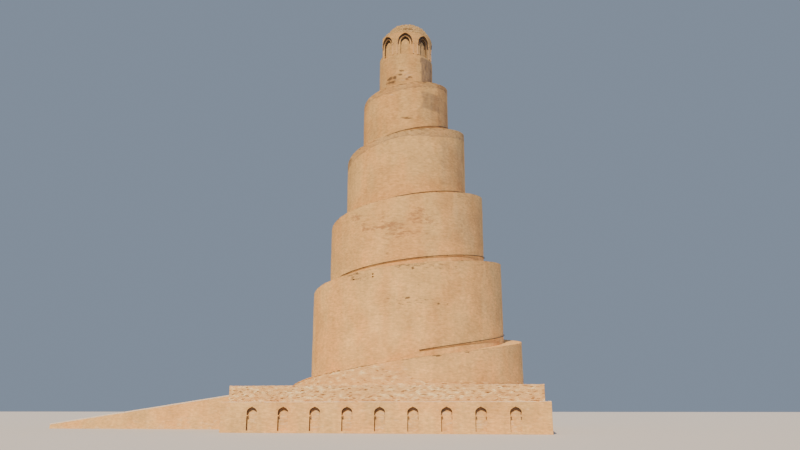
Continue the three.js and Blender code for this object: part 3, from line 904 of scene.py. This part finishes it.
for turn, (first, last, spacing, height) in enumerate(rail_runs, start=1):
    line = bpy.data.curves.new(f"rail_{turn}_line", "CURVE")
    line.dimensions = "3D"
    line.bevel_depth = rail["radius"] * MODEL
    line.bevel_resolution = 3
    line.use_fill_caps = True
    spline = line.splines.new("POLY")
    count = (last - first) * 3
    spline.points.add(count)
    for k in range(count + 1):
        spline.points[k].co = (*(rail_point(first + k / 3, rail["offset"], height) * MODEL), 1)
    drawn = bpy.data.objects.new(f"rail_{turn}_line", line)
    bm = bmesh.new()
    pipe = bpy.data.meshes.new_from_object(drawn)
    bm.from_mesh(pipe)
    bpy.data.batch_remove((pipe, drawn, line))
    for step in range(first + 1, last, spacing):
        outer, inner = (rail_point(step, offset, height) for offset in (rail["offset"], 0.012))
        bar = outer - inner
        turned = bar.to_track_quat("Z", "Y").to_matrix().to_4x4()
        bmesh.ops.create_cone(
            bm, cap_ends=True, segments=8, radius1=rail["bar"] * MODEL, radius2=rail["bar"] * MODEL,
            depth=bar.length * MODEL, matrix=Matrix.Translation((outer + inner) / 2 * MODEL) @ turned)
        plate = Matrix.Translation(inner * MODEL) @ turned @ Matrix.Diagonal((0.011, 0.011, 0.002, 1))
        bmesh.ops.create_cube(bm, size=1, matrix=plate)
    for face in bm.faces:
        face.smooth = len(face.verts) == 4
    handrail = as_object(bm, f"handrail_{turn}", rusty_paint)
    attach(handrail, "root")
    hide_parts(f"turn_{turn}_handrail")

# Drum: the round shaft above the last turn, of the same brick, spalled in small spots and stained
# on its right side. Painted shade darkens its left side and adds to the stain on its right.
crown_foot = 47.7
drum_low = 40.0
drum_rows = 56


def drum_station(share, station):
    angle = 2 * math.pi * share
    out = directions_at(angle)[0].xy
    top = crown_foot - JOINT
    if station in (0, drum_rows + 2):
        z = drum_low if station == 0 else top
        return (0, 0, z), (0, z), (0, 0, 0, 0)
    z = drum_low + (top - drum_low) * (station - 1) / drum_rows
    point = (*(out * drum_radius), z)
    wear_and_shade = wear_at(6, math.degrees(angle), z, 1, point)
    sunk = 0.6 * wave(point) * min(1, top - z) - 0.1 * max(0, wear_and_shade[2] - 0.2)
    return (*(out * (drum_radius + sunk)), z), (angle * drum_radius, z), wear_and_shade


bm = lofted(144, drum_rows + 2, drum_station)
bmesh.ops.recalc_face_normals(bm, faces=bm.faces)
smooth_walls(bm)
drum = as_object(bm, "drum_brickwork", tan_brick)
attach(drum, "root")
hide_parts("drum")

# Crown: eight bays of brickwork round a small room. Seven hold a blind niche of two orders, and the
# eighth the doorway that the ramp leads to. The roof over them has worn to a rounded mound.
crown_nodes = [*(f"crown_bay_{n}" for n in (1, 2, 3, 4, 6, 7, 8)), "door_jamb_front", "door_jamb_back",
               "door_arch", "door_sill", "room_floor"]
outer_arch = {"half_width": 0.98, "springing": 49.55, "apex": 50.83}
inner_arch = {"half_width": 0.625, "springing": 49.5, "apex": 50.45}
roof_low = 50.95
recesses = ((0.2, outer_arch), (0.45, inner_arch))  # each with its depth behind the drum's face
bm = joined_copies(*crown_nodes)
bmesh.ops.triangulate(bm, faces=[f for f in bm.faces if len(f.verts) > 4])


def bay_of(point):
    """The direction that the crown's bay there faces, and the point's place across it, in metres."""
    bay = round((math.degrees(math.atan2(point.y, point.x)) - 7.5) / 45)
    facing, along = directions_at(math.radians(7.5 + 45 * bay))
    return facing, point.dot(along) / MODEL


def at_joint(vert):
    """Whether a vertex lies on the crown's foot or on the joint between two bays."""
    facing, across = bay_of(vert.co)
    return vert.co.z / MODEL < crown_foot + 0.02 or abs(across) > 0.38 * vert.co.dot(facing) / MODEL


soften_corners(bm, 0.012, at_joint)


def arch_behind(face):
    """The arch that a face is the back of, or nothing."""
    middle = face.calc_center_median()
    facing, across = bay_of(middle)
    depth = drum_radius - middle.dot(facing) / MODEL
    if facing.xy.dot(door_direction) > 0.99:
        return None
    return next((arch for deep, arch in recesses if abs(depth - deep) < 0.01
                 and abs(across) < arch["half_width"] and face.normal.dot(facing) > 0.99), None)


panels = [f for f in bm.faces if arch_behind(f)]
bmesh.ops.subdivide_edges(bm, edges=list({e for f in panels for e in f.edges}), cuts=8,
                          use_grid_fill=True)
uv = bm.loops.layers.uv.new("UVMap")
weather_and_shade = bm.loops.layers.float_color.new("weather_and_shade")
shade = bm.loops.layers.float.new("shade")
for face in bm.faces:
    middle = face.calc_center_median()
    around = math.atan2(middle.y, middle.x)
    facing, across = bay_of(middle)
    arch = arch_behind(face)
    depth = drum_radius - middle.dot(facing) / MODEL
    reveal = not arch and abs(across) < 1 and 0.03 < depth < 0.44 and face.normal.dot(facing) < 0.3
    area = 0.5 * wear_at(6, math.degrees(around), 46, 1, middle / MODEL)[3]
    # Soot and painted shadow reach further down the sides of the outer arches, and furthest in the
    # right-hand bays
    clean_and_lit_width = 0.7 if facing.x > 0.7 else 0.87 if arch is outer_arch else 1
    for loop in face.loops:
        co = loop.vert.co
        turned = (math.atan2(co.y, co.x) - around + math.pi) % (2 * math.pi) - math.pi + around
        flat = abs(face.normal.z) > 0.7
        loop[uv].uv = co.xy if flat else (turned * drum_radius * MODEL, co.z + co.xy.length - 0.35)
        if arch:
            soot_and_shadow = soot_and_shadow_under_arch(arch, bay_of(co)[1] / clean_and_lit_width, co.z / MODEL)
        else:  # the reveals get soot and painted shade, strong at their arch and weaker towards their foot
            soot_and_shadow = reveal * (0.7 if co.z / MODEL > inner_arch["springing"] - 0.05 else 0.2)
        # below the arches the shadow is painted dark in the blue channel and the shade, with soot
        loop[weather_and_shade] = (0.05, 0.05, 0.05 + 0.9 * soot_and_shadow, 1)
        loop[shade] = (1 - soot_and_shadow) * area - 0.62 * soot_and_shadow
crown = as_object(bm, "crown_brickwork", tan_brick)
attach(crown, "root")
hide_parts(*crown_nodes)

roof_tones = [linear(c) for c in ("#907348", "#a6895a", "#ba9c6e")]
bm = joined_copies("roof")
bmesh.ops.triangulate(bm, faces=bm.faces)
bmesh.ops.subdivide_edges(bm, edges=bm.edges, cuts=7, use_grid_fill=True)
bmesh.ops.recalc_face_normals(bm, faces=bm.faces)
bm.normal_update()
tone = bm.loops.layers.float_color.new("tone")
for vert in bm.verts:
    up = vert.co.z / MODEL - roof_low
    if up > 0.02:
        rough = 0.35 + noise.fractal(vert.co * 30, 0.8, 2, 4)
        vert.co += vert.normal * 0.07 * MODEL * min(up * 2, 1) * rough
for face in bm.faces:
    face.smooth = True
    for loop in face.loops:
        spot = loop.vert.co
        cloud = noise.fractal(Vector((spot.x * 45, spot.y * 45, spot.z * 90)), 0.7, 2, 4)
        missing = (abs(spot.z / MODEL - 51.5) < 0.11
                   and abs(math.degrees(math.atan2(spot.y, spot.x)) + 75) < 12)
        colour = roof_tones[min(max(int(1.5 + 2.5 * cloud), 0), 2)]
        loop[tone] = linear("#58422b") if missing else colour
roof = as_object(bm, "roof_mound", weathered_brick)
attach(roof, "root")
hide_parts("roof")

# Crown dressings: a ring of bricks on edge round each niche and over the door, and a slim engaged
# shaft with a cap and a foot on both sides of each niche, moulded in tan plaster over brick.
tan_plaster = chalky_surface("tan_lime_plaster", "#c4986a", "#dab37f")
door_arch = {"half_width": 0.55, "springing": 49.5, "apex": 50.35}
door_face = 3.11
shaft_height = (47.85, 49.35)
bm = bmesh.new()
for bay in range(8):
    angle = math.radians(7.5 + 45 * bay)
    at_door = bay == 4
    arch, ring, count = (door_arch, 0.1, 26) if at_door else (outer_arch, 0.045, 40)

    def on_wall(x):
        facing, beside = directions_at(angle if at_door else angle + x / drum_radius)
        centre = facing * (door_face - 0.04) + beside * x if at_door else facing * (drum_radius - 0.06)
        return centre, facing, beside

    lay_ring(bm, arch, ring, count, (0.3 if at_door else 0.1, 0.13), on_wall)
brick_faces_uv(bm)
colour_faces(bm, "weather_and_shade", lambda face, vert: (  # soot and painted shade darken the undersides of the bricks
    0, 0.05, 0.8 if face.normal.z < -0.3 else 0.05, 1))
crown_rings = as_object(bm, "crown_arch_rings", tan_brick)
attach(crown_rings, "root")

bm = bmesh.new()
low, high = shaft_height
for bay in (0, 1, 2, 3, 5, 6, 7):
    for side in (-1, 1):
        facing, beside = directions_at(math.radians(7.5 + 45 * bay) + side * 1.09 / drum_radius)
        if facing.xy.dot(door_direction) * drum_radius > door_face - 0.1:
            continue
        foot = facing * (drum_radius - 0.005)
        middle = Matrix.Translation((foot + upright * (low + high) / 2) * MODEL)
        bmesh.ops.create_cone(bm, cap_ends=True, segments=12, radius1=0.062 * MODEL,
                              radius2=0.056 * MODEL, depth=(high - low) * MODEL, matrix=middle)
        for z, height, wide in ((low, 0.12, 0.16), (high, 0.08, 0.15), (high + 0.07, 0.07, 0.19)):
            lay_brick(bm, foot + upright * z, beside, upright, Vector((wide, wide, height)))
soften_corners(bm, 0.01)
shafts = as_object(bm, "crown_shafts", tan_plaster)
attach(shafts, "root")

# Brickwork that nothing shows: the fill of the socle and the core of the tower keep their CAD
# solids, in the same brick.
inner_brick, tree = bare_material("core_brick")
place = add_node(tree, "TexCoord").outputs["Object"]
courses = add_node(tree, "TexBrick", {
    "Vector": place, "Color1": linear("#d0a97d"), "Color2": linear("#c0966a"), "Scale": 100,
    "Mortar": linear("#b0916b"), "Mortar Size": 0.07, "Brick Width": 2.7, "Row Height": 0.8})
surface = add_node(tree, "BsdfPrincipled", {"Base Color": courses.outputs["Color"], "Roughness": 0.95})
add_node(tree, "OutputMaterial", {"Surface": surface})
for node in ("lower_tier_fill", "core"):
    mesh = frame["nodes"][node].data
    mesh.materials.clear()
    mesh.materials.append(inner_brick)
